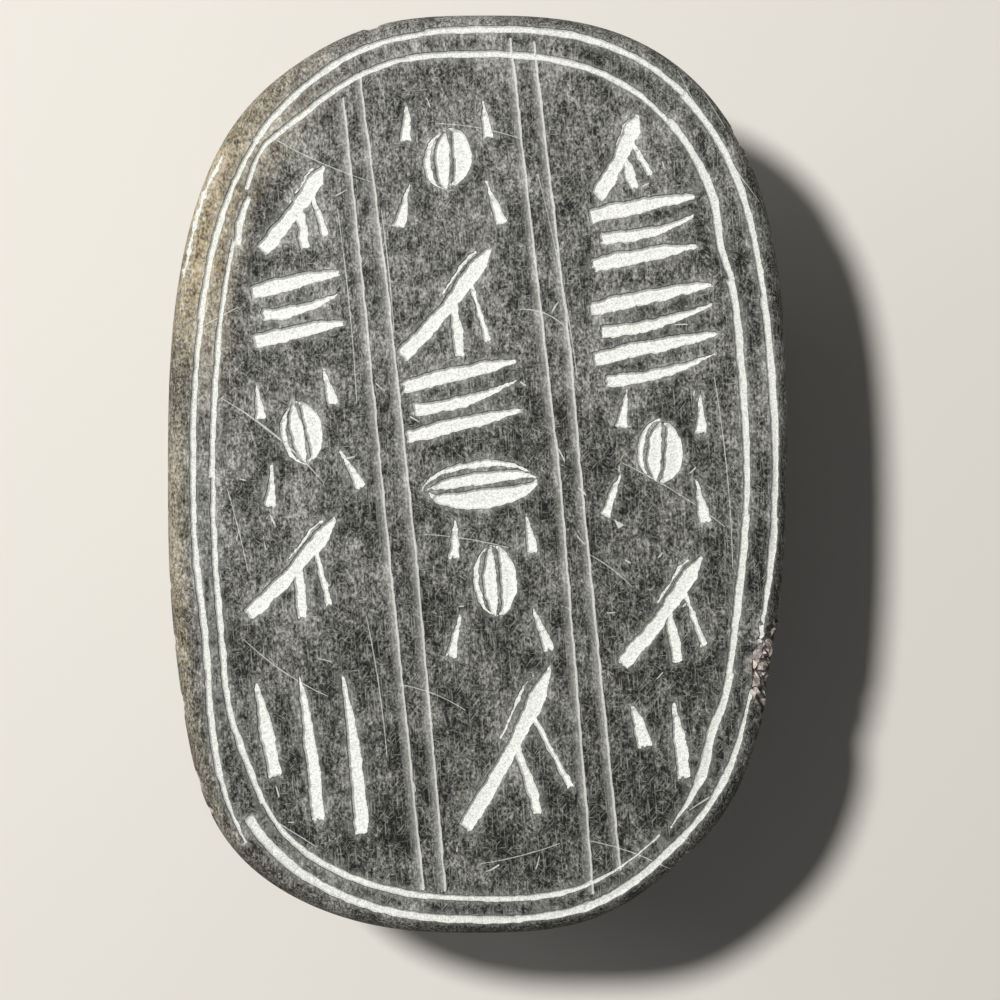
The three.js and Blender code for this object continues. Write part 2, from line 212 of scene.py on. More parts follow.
def swell(widths, count=24):
    return np.interp(np.linspace(0, 1, count), np.linspace(0, 1, len(widths)), widths)


def gouge(start, end, widths, bow=0.0):
    return bowed(start, end, bow), swell(widths)


# The groups of strokes, each round its own middle. None of them is a letter.
def rake():
    """A leaning bar with two short legs, and a second thin pass along the bar's upper edge."""
    bar, widths = gouge((3.2, 4.5), (-3.3, -4.4), (0.3, 1.6, 1.5, 1.25, 1.4, 1.5, 1.35), 0.3)
    chord = (bar[-1] - bar[0]) / np.hypot(*(bar[-1] - bar[0]))
    upper = np.array((chord[1], -chord[0]))
    part = slice(2, 12)
    second = bar[part] + upper * (widths[part] / 2 + 0.2)[:, None]
    strokes = [(bar, widths), (second, swell((0.2, 0.36, 0.3, 0.1), 10))]
    strokes.append(gouge((0.4, 0.9), (1.3, -4.2), (0.4, 0.9, 1.1, 0.9)))
    strokes.append(gouge((1.7, 1.8), (3.4, -2.9), (0.5, 0.6, 0.75)))
    return strokes


def stack(count, length):
    strokes = []
    for i in range(count):
        y = 2.15 * ((count - 1) / 2 - i)
        if i % 2 == 0:
            start, end = (-length / 2, y - 0.7), (length / 2, y + 0.6)
            strokes.append(gouge(start, end, (1.3, 1.45, 1.4, 1.3, 1.0, 0.45), 0.1))
        else:
            start, end = (-length / 2 + 0.8, y - 0.5), (length / 2 - 0.2, y + 1.1)
            strokes.append(gouge(start, end, (1.2, 1.2, 1.1, 0.7, 0.2), -0.5))
    return strokes


def melon(width, length, edges=(-1, -0.58, 0.16, 1), gap=0.24):
    """An oval scraped out in slices between the given edges, with a thin rib of uncut stone between."""
    strokes = []
    y = np.linspace(-length / 2, length / 2, 30)
    bulge = np.sqrt(np.maximum(0, 1 - (2 * y / length) ** 2))
    for left, right in zip(edges[:-1], edges[1:]):
        x = (left + right) / 4 * width * bulge
        full = np.maximum(0.08, (right - left) / 2 * width * bulge - gap)
        shift = chance.uniform(-0.25, 0.25)
        strokes.append((np.column_stack((x, y + shift)), full))
    return strokes


def pod(width, length):
    strokes = melon(width, length)
    for side in (-1, 1):
        out = side * (width / 2 + 1.1)
        top, foot = length / 2, -length / 2
        strokes.append(gouge((out, top + 2.7), (out + 0.3 * side, top - 1.0), (0.15, 0.8, 1.15)))
        strokes.append(gouge((out, foot + 0.6), (out + 1.3 * side, foot - 3.6), (0.15, 0.8, 1.2)))
    return strokes


def posts(count, length):
    strokes = []
    for i in range(count):
        x = 3.7 * (i - (count - 1) / 2)
        top, foot = length / 2 - (0.6 if i == 0 else 0), -length / 2 + (0.22 * length if i == 0 else -1.2 * i)
        strokes.append(gouge((x - 0.8, top), (x + 0.9, foot), (0.25, 0.9, 1.25, 1.3, 1.35), 0.12 * i))
    return strokes


# Three columns of groups: the group, the place of its middle, its lean in degrees and its size.
INSCRIPTION = (
    (rake(), -15.9, 22.9, 0, 0.85),
    (stack(3, 8), -15.6, 14.4, 3, 1),
    (pod(4.3, 5.8), -15.2, 3.6, 12, 0.9),
    (rake(), -16, -8, -6, 1.05),
    (posts(3, 11.5), -14.6, -23, 0, 1),
    (pod(4.7, 5.2), -2.6, 27.2, 2, 0.95),
    (rake(), -2.7, 14.8, -3, 1.12),
    (stack(3, 10.4), -1.4, 6.5, 6, 1),
    (melon(4.6, 9.6, (-1, -0.1, 0.55, 1)), 0.2, -0.9, 97, 1),
    (pod(4.3, 6.4), 1.5, -9.2, 4, 0.95),
    (rake(), 2.6, -23.6, 8, 1.45),
    (rake(), 12.1, 27.4, 10, 0.75),
    (stack(3, 9.4), 14.3, 21, 3, 1),
    (stack(4, 11), 15.2, 12.1, 5, 1),
    (pod(4.5, 5.5), 15.7, 2, -4, 0.95),
    (rake(), 15.9, -11.8, 0, 1.08),
    (posts(2, 5.8), 15.6, -22.2, -6, 0.95),
)


def stroke_cuts():
    cuts = []
    for strokes, x, y, lean, size in INSCRIPTION:
        turn = math.radians(lean)
        spin = np.array(((math.cos(turn), math.sin(turn)), (-math.sin(turn), math.cos(turn))))
        for path, widths in strokes:
            cuts.append(Cut(path * size @ spin + (x, y), widths, "gouge", GOUGE_DEPTH))
    return cuts


# Column rules: two pairs of long straight scores that lean together, from the top to the bottom.
RULES = (
    ((-11.9, 32.5), (-10.1, 15), (-7.9, -7.4), (-5.0, -36)),
    ((-10.5, 34.6), (-8, 15), (-5.6, -7.4), (-3.1, -36.1)),
    ((2.5, 37.6), (5.6, 9.8), (6.8, -0.5), (9.65, -36.3)),
    ((4.5, 37.4), (7.75, 9.8), (8.6, -0.5), (12, -34.3)),
)
RULE_WIDTH = 0.86


def rule_cuts():
    cuts = []
    for places in RULES:
        path = np.array(places)
        cuts.append(Cut(path, [RULE_WIDTH] * len(path), "rule", RULE_DEPTH, ragged=0.04, step=0.5))
    return cuts


# Rim lines: two scores that go round the plate freehand, so that their inset from the edge wanders.
# A wave is how many times round, how strong, and the angle where it is strongest. A slip is local.
OUTER = {
    "inset": 1.97,
    "waves": ((1, 0.6, 175), (2, 0.17, 13), (4, 0.39, 44)),
    "slips": ((128, 0.3, 12), (210, 0.3, 9)),
}
INNER = {
    "inset": 4.1,
    "waves": ((1, 0.28, 132), (2, 0.28, 19), (4, 0.5, 46)),
    "slips": ((232, 0.8, 7), (124, -0.8, 5), (312, 0.6, 4), (43, 0.7, 5)),
}
# Each line was cut in many pushes: from one angle to another, with the drift at its start and end and its
# widths. The pushes meet a little out of line, and both lines miss their own beginning.
PUSHES = (
    (OUTER, 236, 276, 0.6, 0, (0.95, 0.75, 0.7)),
    (OUTER, 274.5, 300, 0.1, 0, (0.6, 0.8, 0.7)),
    (OUTER, 299, 322, 0, 0.1, (0.6, 0.7, 0.3)),
    (OUTER, 329, 352, 0, 0, (0.3, 0.65, 0.7)),
    (OUTER, 351, 392, 0.08, 0, (0.55, 0.7, 0.65)),
    (OUTER, 31, 62, 0, 0.05, (0.5, 0.7, 0.7)),
    (OUTER, 61, 97, -0.05, 0, (0.55, 0.7, 0.6)),
    (OUTER, 95.5, 124, 0.1, 0, (0.5, 0.65, 0.6)),
    (OUTER, 122.5, 151, 0, 0, (0.45, 0.6, 0.6)),
    (OUTER, 150, 190, 0.08, 0, (0.5, 0.6, 0.6)),
    (OUTER, 189, 216, 0, 0, (0.5, 0.65, 0.65)),
    (OUTER, 214.5, 238, 0.1, -1.0, (0.5, 0.7, 0.25)),
    (INNER, 262, 297, 0.05, -0.4, (0.55, 0.6, 0.1)),
    (INNER, 298.5, 322, -0.7, 0, (0.15, 0.9, 0.8, 0.75)),
    (INNER, 320.5, 352, 0.1, 0, (0.6, 0.75, 0.7)),
    (INNER, 351, 398, 0, 0.1, (0.5, 0.75, 0.7)),
    (INNER, 37, 62, -0.1, 0, (0.6, 0.8, 0.65)),
    (INNER, 61, 100, 0.1, 0, (0.5, 0.65, 0.6)),
    (INNER, 98.5, 129.2, 0, 0, (0.5, 0.6, 0.45)),
    (INNER, 129.3, 136.6, 0.5, 0.5, (0.5, 0.7, 0.65)),
    (INNER, 136, 181, 0, 0, (0.4, 0.55, 0.6)),
    (INNER, 179.5, 222, 0.08, 0, (0.45, 0.6, 0.6)),
    (INNER, 220.5, 237, 0, 0, (0.5, 0.65, 0.6)),
    (INNER, 235.5, 263.5, 0.1, 0, (0.45, 0.65, 0.6)),
)


def line_inset(line, angles):
    inset = np.full(len(angles), line["inset"])
    for times, strength, peak in line["waves"]:
        inset += strength * np.cos(np.radians(times * (angles - peak)))
    for slip in line["slips"]:
        inset += bump(angles, *slip)
    return inset


def rim_cuts():
    cuts = []
    for line, start, end, drift_in, drift_out, widths in PUSHES:
        share = np.linspace(0, 1, 60)
        angles = start + (end - start) * share
        inset = line_inset(line, angles) + drift_in * (1 - share) ** 3 + drift_out * share ** 3
        full = 1.12 * swell(widths, 60)
        cuts.append(Cut(rim_points(angles, inset), full, "line", LINE_DEPTH, 0.045, 0.33))
    return cuts


# Ragged nicks along the upper left edge: from one angle to another, and their inset.
NICKS = ((128.6, 131.8, 0.85), (131.4, 146.5, 0.62))


def small_cuts():
    """Nicks on the edge, and the ticks and pits that a slipping point leaves here and there."""
    cuts = []
    for start, end, inset in NICKS:
        path = rim_points(np.linspace(start, end, 12), np.full(12, inset))
        cuts.append(Cut(path, swell((0.15, 0.5, 0.42, 0.45, 0.15), 12), "line", 0.12, 0.12, 0.2))
    for _ in range(46):
        angle, share = chance.uniform(0, 360), math.sqrt(chance.uniform(0, 1))
        start = rim_points(np.array([angle]), outline_radius(np.array([angle])) * (1 - 0.86 * share))[0]
        turn, length = chance.uniform(0, math.tau), chance.uniform(0.35, 1.4)
        end = start + length * np.array((math.cos(turn), math.sin(turn)))
        path, widths = gouge(start, end, (0.06, chance.uniform(0.08, 0.2), 0.06), chance.uniform(-0.1, 0.1))
        cuts.append(Cut(path, widths, "tick", 0.08, 0.02, 0.12))
    return cuts


# Hair scratches: long thin slips of a tool or of grit, some of them bowed.
SCRATCHES = (
    ((-22.2, 6.6), (-13.2, -0.8), 0.5, 0.16), ((-12.1, 23.0), (-10.4, 6.0), 0.2, 0.08),
    ((17.2, 35.0), (24.4, 23.4), -0.4, 0.09), ((19.4, 33.2), (21.4, 29.8), 0, 0.10),
    ((-8.3, 22.8), (-7.2, 12.2), 0.1, 0.10), ((3.6, 14.2), (8.0, 12.2), 0.6, 0.12),
    ((-3.4, 30.2), (4.0, 28.8), 0.3, 0.08), ((-24.2, 12.5), (-20.6, 14.4), 0, 0.10),
    ((18.2, -29.0), (21.0, -27.2), 0, 0.14), ((9.6, -31.6), (16.8, -34.2), 0.3, 0.08),
    ((-20.2, -14.2), (-12.8, -19.2), -0.4, 0.09), ((-6.4, -18.2), (-1.0, -20.4), 0.3, 0.08),
    ((0.2, -33.6), (7.2, -31.8), -0.2, 0.08), ((12.4, 1.0), (21.4, -4.6), 0.3, 0.07),
    ((-18.4, 29.4), (-9.2, 25.2), -0.3, 0.08), ((9.4, -6.8), (13.4, -9.8), 0.2, 0.09),
    ((-9.6, -12.2), (-7.8, -24.4), 0.2, 0.08), ((5.2, 25.8), (8.6, 8.2), 0.3, 0.08),
    ((-4.6, -5.2), (2.8, -6.4), 0.2, 0.08), ((20.4, 8.4), (22.0, -8.0), 0.3, 0.08),
    ((-17.6, -29.8), (-13.8, -32.2), 0, 0.10), ((-21.6, -1.2), (-19.8, -8.4), 0.1, 0.08),
)


def scratch_cuts():
    cuts = []
    for start, end, bow, width in SCRATCHES:
        path, widths = gouge(start, end, (0.05, width, width, 0.05), bow)
        cuts.append(Cut(path, widths, "scratch", SCRATCH_DEPTH, 0.012, 0.4))
    return cuts


# ---------------------------------------------------------------- shape of the cuts
SKIN = 0.07
WALL = 0.26


def gouge_depth(cut, inside, side, place, half):
    """Steep walls down to a floor that bears the chatter of the tool, shallower where the cut is thin."""
    floor = np.minimum(cut.depth, 0.9 * half + 0.08)
    wall = np.clip(inside / np.minimum(WALL, 0.8 * half), 0, 1)
    chatter = 0.03 * np.sin(place * 2 * math.pi / 0.42 + 2.5 * np.sin(side * 2.2) + 1.3 * np.sin(place * 1.1))
    ridge = 0.05 * np.exp(-(((side - 0.22 * half) / 0.07) ** 2)) * (half > 0.45)
    return floor * np.sin(wall * math.pi / 2) - (chatter + ridge) * wall ** 2


def line_depth(cut, inside, side, place, half):
    wall = np.clip(inside / (0.8 * half), 0, 1)
    chatter = 0.025 * np.sin(place * 2 * math.pi / 0.5 + 1.5 * np.sin(place * 0.9))
    return np.minimum(cut.depth, 0.9 * half + 0.04) * np.sin(wall * math.pi / 2) - chatter * wall ** 2


def rule_depth(cut, inside, side, place, half):
    """A slanting score: a long gentle bank on the left and a short steep one on the right."""
    gentle = (side + half) / (1.6 * half)
    steep = (half - side) / (0.4 * half)
    return cut.depth * np.clip(np.minimum(gentle, steep), 0, 1)


def scratch_depth(cut, inside, side, place, half):
    return cut.depth * np.clip(inside / half, 0, 1)


SHAPES = {
    "gouge": gouge_depth,
    "line": line_depth,
    "rule": rule_depth,
    "scratch": scratch_depth,
    "tick": scratch_depth,
}


def within(points, low, high):
    return np.flatnonzero(((points > low) & (points < high)).all(axis=1))


def carve(cuts, points):
    """The depth of the deepest cut at each point of the face."""
    depth = np.zeros(len(points))
    for cut in cuts:
        near = within(points, *cut.box(0.05))
        if len(near) == 0:
            continue
        inside, side, place, half = cut.reach(points[near])
        new = np.where(inside > 0, SHAPES[cut.kind](cut, inside, side, place, half), 0)
        depth[near] = np.maximum(depth[near], new)
    return depth


# Chips broken out of the rim: the angle, the depth below the face, the length along the rim, the height
# and how far each one bites in.
CHIPS = (
    (-34, 1.0, 4.2, 2.2, 1.25), (2.4, 1.6, 0.5, 0.7, 0.3), (181, 3.1, 0.6, 0.9, 0.3),
    (199.6, 1.7, 0.4, 0.7, 0.3), (208.8, 1.6, 0.5, 0.7, 0.3), (218, 1.7, 0.9, 0.7, 0.3),
    (227.8, 1.6, 0.8, 0.8, 0.35), (231.2, 1.7, 0.45, 0.8, 0.35), (52, 1.5, 1.2, 0.9, 0.5),
    (37, 3.4, 0.7, 0.8, 0.4), (14, 1.6, 0.5, 0.9, 0.3), (-62, 1.6, 1.2, 0.9, 0.45),
    (299, 3.2, 0.8, 0.9, 0.35), (103, 1.5, 0.9, 0.9, 0.35),
)


def chipped(points):
    """How far the chips push each point in towards the middle, and how pale they leave it."""
    angle = angle_of(points)
    radius = outline_radius(angle)
    depth = FACE - points[:, 2]
    push = np.zeros(len(points))
    pale = np.zeros(len(points))
    for at, level, length, height, bite in CHIPS:
        along = np.radians((angle - at + 540) % 360 - 180) * radius / length
        near = np.flatnonzero(np.abs(along) < 1.3)
        rough = np.array([noise.noise(Vector(points[i] * 1.3)) for i in near])
        fine = np.array([noise.noise(Vector(points[i] * 3.4)) for i in near])
        inset = radius[near] - np.hypot(points[near, 0], points[near, 1])
        reach = along[near] ** 2 + ((depth[near] - level) / height) ** 2 + (inset / (1.5 * bite + 0.4)) ** 2
        scoop = np.clip(1.0 - reach + 1.0 * rough + 0.5 * fine, 0, 1)
        push[near] = np.maximum(push[near], bite * scoop * (0.8 + 0.5 * rough + 0.4 * fine))
        pale[near] = np.maximum(pale[near], np.clip(2.5 * scoop, 0, 1))
    return push, pale


# ---------------------------------------------------------------- face
# Rows of corners along the rubbed edge: how far in from the outline, and the gap between two corners.
EDGE_ROWS = ((0.25, 0.45), (0.42, 0.45), (0.62, 0.5), (0.85, 0.5), (1.1, 0.55), (1.4, 0.6), (1.9, 0.7))


def loose_grid(low, high, pitch, stray):
    """Places in even rows between two corners, each one strayed a little."""
    across = np.arange(low[0], high[0], pitch)
    along = np.arange(low[1], high[1], pitch)
    grid = np.stack(np.meshgrid(across, along), axis=-1).reshape(-1, 2)
    return grid + chance.uniform(-stray, stray, grid.shape)


def points_between():
    """Places between the cuts that carry the face: rows along the rubbed edge, then a loose grid."""
    rows = []
    for inset, gap in EDGE_ROWS:
        count = int(215 / gap)
        angles = np.linspace(0, 360, count, endpoint=False) + 360 / count * (len(rows) % 2) / 2
        rows.append(rim_points(angles, np.full(count, inset)))
    grid = loose_grid((-HALF_WIDTH, -HALF_LENGTH), (HALF_WIDTH, HALF_LENGTH), 0.72, 0.25)
    rows.append(grid[inset_of(grid) > 2.2])
    return np.vstack(rows)


def floor_points(cut):
    """A close grid on the floor of a wide gouge, for the marks of the tool."""
    grid = loose_grid(*cut.box(0), 0.17, 0.05)
    inside = cut.reach(grid)[0]
    return grid[inside > WALL + 0.08]


CONTOURS = {"gouge": (0, SKIN, WALL), "line": (0, SKIN, 0.2), "rule": (0,), "scratch": (0,), "tick": (0,)}


def plan_tree(places):
    """A search tree over places in plan."""
    tree = kdtree.KDTree(len(places))
    for i, place in enumerate(places):
        tree.insert((place[0], place[1], 0), i)
    tree.balance()
    return tree


def face_plan(cuts, seam):
    """Corners and triangles of the face in plan. The first corners are the seam's, in their order."""
    loops = [(seam, True)]
    for cut in cuts:
        for inset in CONTOURS[cut.kind]:
            loop = cut.contour(inset)
            if loop is not None:
                loops.append((loop, True))
        if cut.kind == "rule":
            valley = cut.path + cut.across * (0.6 * cut.half[0])[:, None]
            loops.append((valley[2:-2], False))
    fence = np.vstack([loop for loop, _ in loops])
    tree = plan_tree(fence)
    loose = [points_between()]
    loose += [floor_points(cut) for cut in cuts if cut.kind == "gouge"]
    loose = np.vstack(loose)
    clear = [tree.find((place[0], place[1], 0))[2] > 0.13 for place in loose]
    loose = loose[np.array(clear)]
    edges = []
    start = 0
    for loop, closed in loops:
        edges += [(start + i, start + i + 1) for i in range(len(loop) - 1)]
        if closed:
            edges.append((start + len(loop) - 1, start))
        start += len(loop)
    corners = np.vstack((fence, loose))
    made = delaunay_2d_cdt([Vector(place) for place in corners], edges, [], 1, 1e-5)
    plan = np.array([tuple(place) for place in made[0]])
    return plan, np.array(made[2])


# ---------------------------------------------------------------- rest of the stone
VOXEL = 0.34


def temporary(mesh):
    thing = bpy.data.objects.new("work", mesh)
    bpy.context.scene.collection.objects.link(thing)
    return thing


def applied(thing):
    """The mesh with its modifiers applied. The object and its first mesh are removed."""
    made = bpy.data.meshes.new_from_object(thing.evaluated_get(bpy.context.evaluated_depsgraph_get()))
    first = thing.data
    bpy.data.objects.remove(thing)
    bpy.data.meshes.remove(first)
    return made


def vectors(mesh, name):
    """The places or normals of a mesh's vertices; places are in millimetres."""
    values = np.empty(len(mesh.vertices) * 3)
    mesh.vertices.foreach_get(name, values)
    return values.reshape(-1, 3) / (MM if name == "co" else 1)


def evened_stone():
    """The stone's own solid with an even skin, a little rubbed, with the knife marks on the beetle."""
    work = temporary(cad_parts["scarab"].data.copy())
    even = work.modifiers.new("even", "REMESH")
    even.mode = "VOXEL"
    even.voxel_size = VOXEL * MM
    rub = work.modifiers.new("rub", "SMOOTH")
    rub.factor = 0.5
    rub.iterations = 4
    made = applied(work)
    places = vectors(made, "co")
    deep, _ = carved_marks(places)
    lower = np.clip((FACE - places[:, 2] - PLATE_DEPTH + 0.4) / 0.8, 0, 1)
    deep = (deep + 0.1 * shared_noise(places, 3.2, 5) + 0.05 * shared_noise(places, 0.9, 9)) * lower
    places = true_side(places - vectors(made, "normal") * deep[:, None])
    made.vertices.foreach_set("co", (places * MM).ravel())

    # Fewer and larger triangles where the beetle is smooth, but not on the plate's side.
    work = temporary(made)
    group = work.vertex_groups.new(name="beetle")
    group.add(np.flatnonzero(lower > 0.9).tolist(), 1.0, "REPLACE")
    fewer = work.modifiers.new("fewer", "DECIMATE")
    fewer.ratio = 0.64
    fewer.vertex_group = "beetle"
    fewer.vertex_group_factor = 100
    return applied(work)


def open_stone():
    """The stone below the seam, with a clean open rim, ready for the face."""
    made = evened_stone()
    stone = bmesh.new()
    stone.from_mesh(made)
    bpy.data.meshes.remove(made)
    everything = stone.verts[:] + stone.edges[:] + stone.faces[:]
    seam = (0, 0, (FACE - SEAM_DEPTH) * MM)
    bmesh.ops.bisect_plane(stone, geom=everything, plane_co=seam, plane_no=(0, 0, 1), clear_outer=True)
    rim = [e for e in stone.edges if e.is_boundary]
    bmesh.ops.dissolve_degenerate(stone, edges=rim, dist=0.12 * MM)
    stone.verts.index_update()
    return stone


def true_side(points):
    """Moves the plate's side onto its true curve, easing off below its lower edge."""
    depth = FACE - points[:, 2]
    share = np.clip((PLATE_DEPTH - 0.7 - depth) / 0.8, 0, 1)
    radius = np.hypot(points[:, 0], points[:, 1])
    true = outline_radius(angle_of(points)) - edge_inset(depth)
    share = share * (np.abs(true - radius) < 1.2)
    scale = 1 + share * (true / np.maximum(radius, 1) - 1)
    return points * np.column_stack((scale, scale, np.ones(len(points))))


def stripe(away, width):
    """One in the middle of a line, falling to nothing at about its width to each side."""
    return np.exp(-((away / (0.6 * width)) ** 2))


def carved_marks(points):
    """Marks of the knife on the beetle: how deep they are at each point, and how pale."""
    x, y = points[:, 0], points[:, 1]
    depth = FACE - points[:, 2]
    inset = inset_of(points)
    arc = np.radians(angle_of(points)) * 30
    flank = (depth > PLATE_DEPTH + 0.6) & (depth < 13.6) & (inset < 5.5)
    leg = flank & (inset < 3.3)
    bristles = 0.5 + 0.5 * np.sin((arc - 0.9 * np.abs(depth)) * 2 * math.pi / 1.3)
    chisel = 0.5 + 0.5 * np.sin(arc * 2 * math.pi / 1.9 + 1.5 * np.sin(arc * 0.7))
    cut = np.where(leg, 0.17 * bristles ** 3, np.where(flank, 0.14 * chisel, 0))
    pale = np.where(leg, 0.4 * bristles ** 4, 0)

    # The back: a score down the wing cases and another along each side of it, a collar and a fine score
    # behind it, and a border round the wing cases.
    back = np.clip((depth - 14.8) / 0.6, 0, 1)
    collar = 8.5 + 2.2 * (x / 24.3) ** 2
    wings = np.clip((collar - y) / 0.5, 0, 1)
    lines = stripe(x, 0.4)
    lines = np.maximum(lines, 0.5 * stripe(np.abs(x) - 1.3, 0.3)) * wings
    lines = np.maximum(lines, np.maximum(stripe(y - collar, 0.4), 0.5 * stripe(y - collar + 1.3, 0.3)))
    rim = np.abs(x / 24.3) ** 2.5 + np.abs(y / 36.2) ** 2.5
    lines = np.maximum(lines, 0.5 * stripe((rim ** 0.4 - 0.9) * 26, 0.3) * wings)
    notch = np.abs(np.abs(x) - 13.5 + 0.9 * (y - 8)) + 3 * np.abs(y - 6.6)
    lines = np.maximum(lines, np.clip(2.2 - notch, 0, 1)) * back
    return cut + 0.24 * lines, np.maximum(pale, 0.55 * lines ** 2)


def shared_noise(points, size, seed):
    return np.array([noise.noise(Vector(place) / size + Vector((seed, 0, 0))) for place in points])


# ---------------------------------------------------------------- amulet
def stitched(body, seam_index, face, triangles):
    """The body's corners with the face's added, and the face's triangles. Both share the seam's corners."""
    tree = plan_tree(body[seam_index])
    index = np.zeros(len(face), int)
    extra = []
    for i, place in enumerate(face):
        _, nearest, gap = tree.find((place[0], place[1], 0))
        if gap < 1e-3:
            index[i] = seam_index[nearest]
        else:
            index[i] = len(body) + len(extra)
            extra.append(i)
    triangles = index[triangles]
    spread = (triangles[:, 0] != triangles[:, 1]) & (triangles[:, 1] != triangles[:, 2])
    spread &= triangles[:, 0] != triangles[:, 2]
    return np.vstack((body, face[extra])), triangles[spread]


def make_amulet():
    stone = open_stone()
    body = np.array([v.co for v in stone.verts]) / MM
    on_rim = np.array([v.is_boundary for v in stone.verts])
    faces = [[v.index for v in f.verts] for f in stone.faces]
    stone.free()

    seam_index = np.flatnonzero(on_rim)
    seam_index = seam_index[np.argsort(angle_of(body[seam_index]))]
    seam_angle = angle_of(body[seam_index])
    seam = rim_points(seam_angle, np.full(len(seam_angle), float(edge_inset(np.array(SEAM_DEPTH)))))
    body[seam_index, :2] = seam
    body[seam_index, 2] = FACE - SEAM_DEPTH

    cuts = stroke_cuts() + rule_cuts() + rim_cuts() + small_cuts() + scratch_cuts()
    plan, triangles = face_plan(cuts, seam)
    height = FACE - edge_depth(inset_of(plan)) - carve(cuts, plan)
    points, triangles = stitched(body, seam_index, np.column_stack((plan, height)), triangles)

    _, pale = carved_marks(points)
    push, chip = chipped(points)
    radius = np.maximum(np.hypot(points[:, 0], points[:, 1]), 1)
    points[:, :2] *= (1 - push / radius)[:, None]
    points[:, 2] -= 0.5 * push * (points[:, 2] > FACE - 2)
    points[:, 2] = np.maximum(points[:, 2], 0)

    mesh = bpy.data.meshes.new("scarab_amulet")
    faces = faces + [tuple(int(i) for i in corner) for corner in triangles]
    mesh.from_pydata([tuple(place * MM) for place in points], [], faces)
    mesh.update()
    finish_values(mesh, cuts, points, pale, chip)
    bake_map(mesh)
    mesh.shade_smooth()
    mesh.set_sharp_from_angle(angle=math.radians(32))
    amulet = bpy.data.objects.new("scarab_amulet", mesh)
    bpy.context.scene.collection.objects.link(amulet)
    return amulet


def worn_by_hand(points):
    """How far the black is worn off: most at the upper left rim, some down the left side of the rim."""
    angle = angle_of(points)
    inset = inset_of(points)
    thumb = bump(angle, 139, 1, 21) * np.clip((6.6 - inset) / 3.6, 0, 1)
    flank = bump(angle, 196, 0.55, 40) * np.clip((2.2 - inset) / 1.2, 0, 1)
    plate = np.clip((PLATE_DEPTH + 1.5 - FACE + points[:, 2]) / 1.5, 0, 1)
    return np.clip(np.maximum(thumb, flank), 0, 1) * plate


PALE = {"gouge": 1.0, "line": 0.9, "scratch": 0.55, "tick": 0.7}


def corners_of(mesh):
    """The vertex and the face of each corner, and the middle and the normal of each face."""
    corner = np.empty(len(mesh.loops), int)
    mesh.loops.foreach_get("vertex_index", corner)
    totals = np.empty(len(mesh.polygons), int)
    mesh.polygons.foreach_get("loop_total", totals)
    middles = np.empty(len(totals) * 3)
    mesh.polygons.foreach_get("center", middles)
    normals = np.empty(len(totals) * 3)
    mesh.polygons.foreach_get("normal", normals)
    owner = np.repeat(np.arange(len(totals)), totals)
    return corner, owner, middles.reshape(-1, 3) / MM, normals.reshape(-1, 3)


def finish_values(mesh, cuts, points, pale, chip):
    """Writes how freshly each corner was cut (red, with a painted highlight on the rules' steep banks),
    how rubbed (green), chipped (blue) and worn (alpha).
    """
    corner, owner, middles, _ = corners_of(mesh)
    upper = np.flatnonzero(middles[:, 2] > FACE - SEAM_DEPTH - 0.9)
    plan = middles[upper, :2]
    fresh = np.zeros(len(middles))
    rubbed = np.zeros(len(corner))
    for cut in cuts:
        near = within(plan, *cut.box(0.4))
        if len(near) == 0:
            continue
        inside, side, _, half = cut.reach(plan[near])
        if cut.kind == "rule":
            inner = upper[near[(inside > 0)]]
            corners = np.flatnonzero(np.isin(owner, inner))
            _, across, _, broad = cut.reach(points[corner[corners], :2])
            bank = np.clip((across + broad) / (1.6 * broad), 0, 1)
            rubbed[corners] = np.maximum(rubbed[corners], 0.05 + 0.7 * bank ** 1.7)
            # The steep right bank is fresh pale stone, and is painted paler still as a highlight where it
            # faces the key lamp.
            bright = upper[near[(inside > 0.02) & (side > 0.6 * half)]]
            fresh[bright] = np.maximum(fresh[bright], 0.6)
            continue
        if cut.kind in ("gouge", "line"):
            edge = np.flatnonzero(np.isin(owner, upper[near]))
            edge = edge[np.abs(cut.reach(points[corner[edge], :2])[0]) < 0.02]
            rubbed[edge] = np.maximum(rubbed[edge], 0.3)
        skin = SKIN if cut.kind in ("gouge", "line") else 0
        inner = upper[near[inside > np.minimum(skin, 0.5 * half)]]
        fresh[inner] = np.maximum(fresh[inner], PALE[cut.kind])
    colour = np.ones((len(corner), 4))
    colour[:, 0] = np.maximum(fresh[owner], pale[corner])
    colour[:, 1] = rubbed
    colour[:, 2] = chip[corner]
    colour[:, 3] = worn_by_hand(points)[corner]
    layer = mesh.color_attributes.new("finish", "FLOAT_COLOR", "CORNER")
    layer.data.foreach_set("color", colour.ravel())


def bake_map(mesh):
    """A flat map: the inscribed face large, the beetle's back and the two halves of the side small."""
    layer = mesh.uv_layers.new(name="OFBake")
    corner, owner, middles, normals = corners_of(mesh)
    places = vectors(mesh, "co")[corner]
    above = (middles[:, 2] > FACE - SEAM_DEPTH - 0.1)[owner]
    below = ((normals[:, 2] < -0.55) & (middles[:, 2] < FACE - PLATE_DEPTH - 0.5))[owner]
    east = (middles[:, 0] > 0)[owner]
    turn = np.degrees(np.arctan2(places[:, 1], np.abs(places[:, 0])))
    tall = (FACE - places[:, 2]) / 30
    across, along = (places[:, 0] + 27) / 54, (places[:, 1] + 40) / 80
    flat = np.column_stack((0.005 + across * 0.6, 0.18 + along * 0.815))
    back = np.column_stack((0.625 + across * 0.36, 0.5 + along * 0.49))
    side = np.column_stack((0.005 + (turn + 90) / 180 * 0.98, np.where(east, 0.005, 0.092) + tall * 0.08))
    places = np.where(above[:, None], flat, np.where(below[:, None], back, side))
    layer.data.foreach_set("uv", places.ravel())


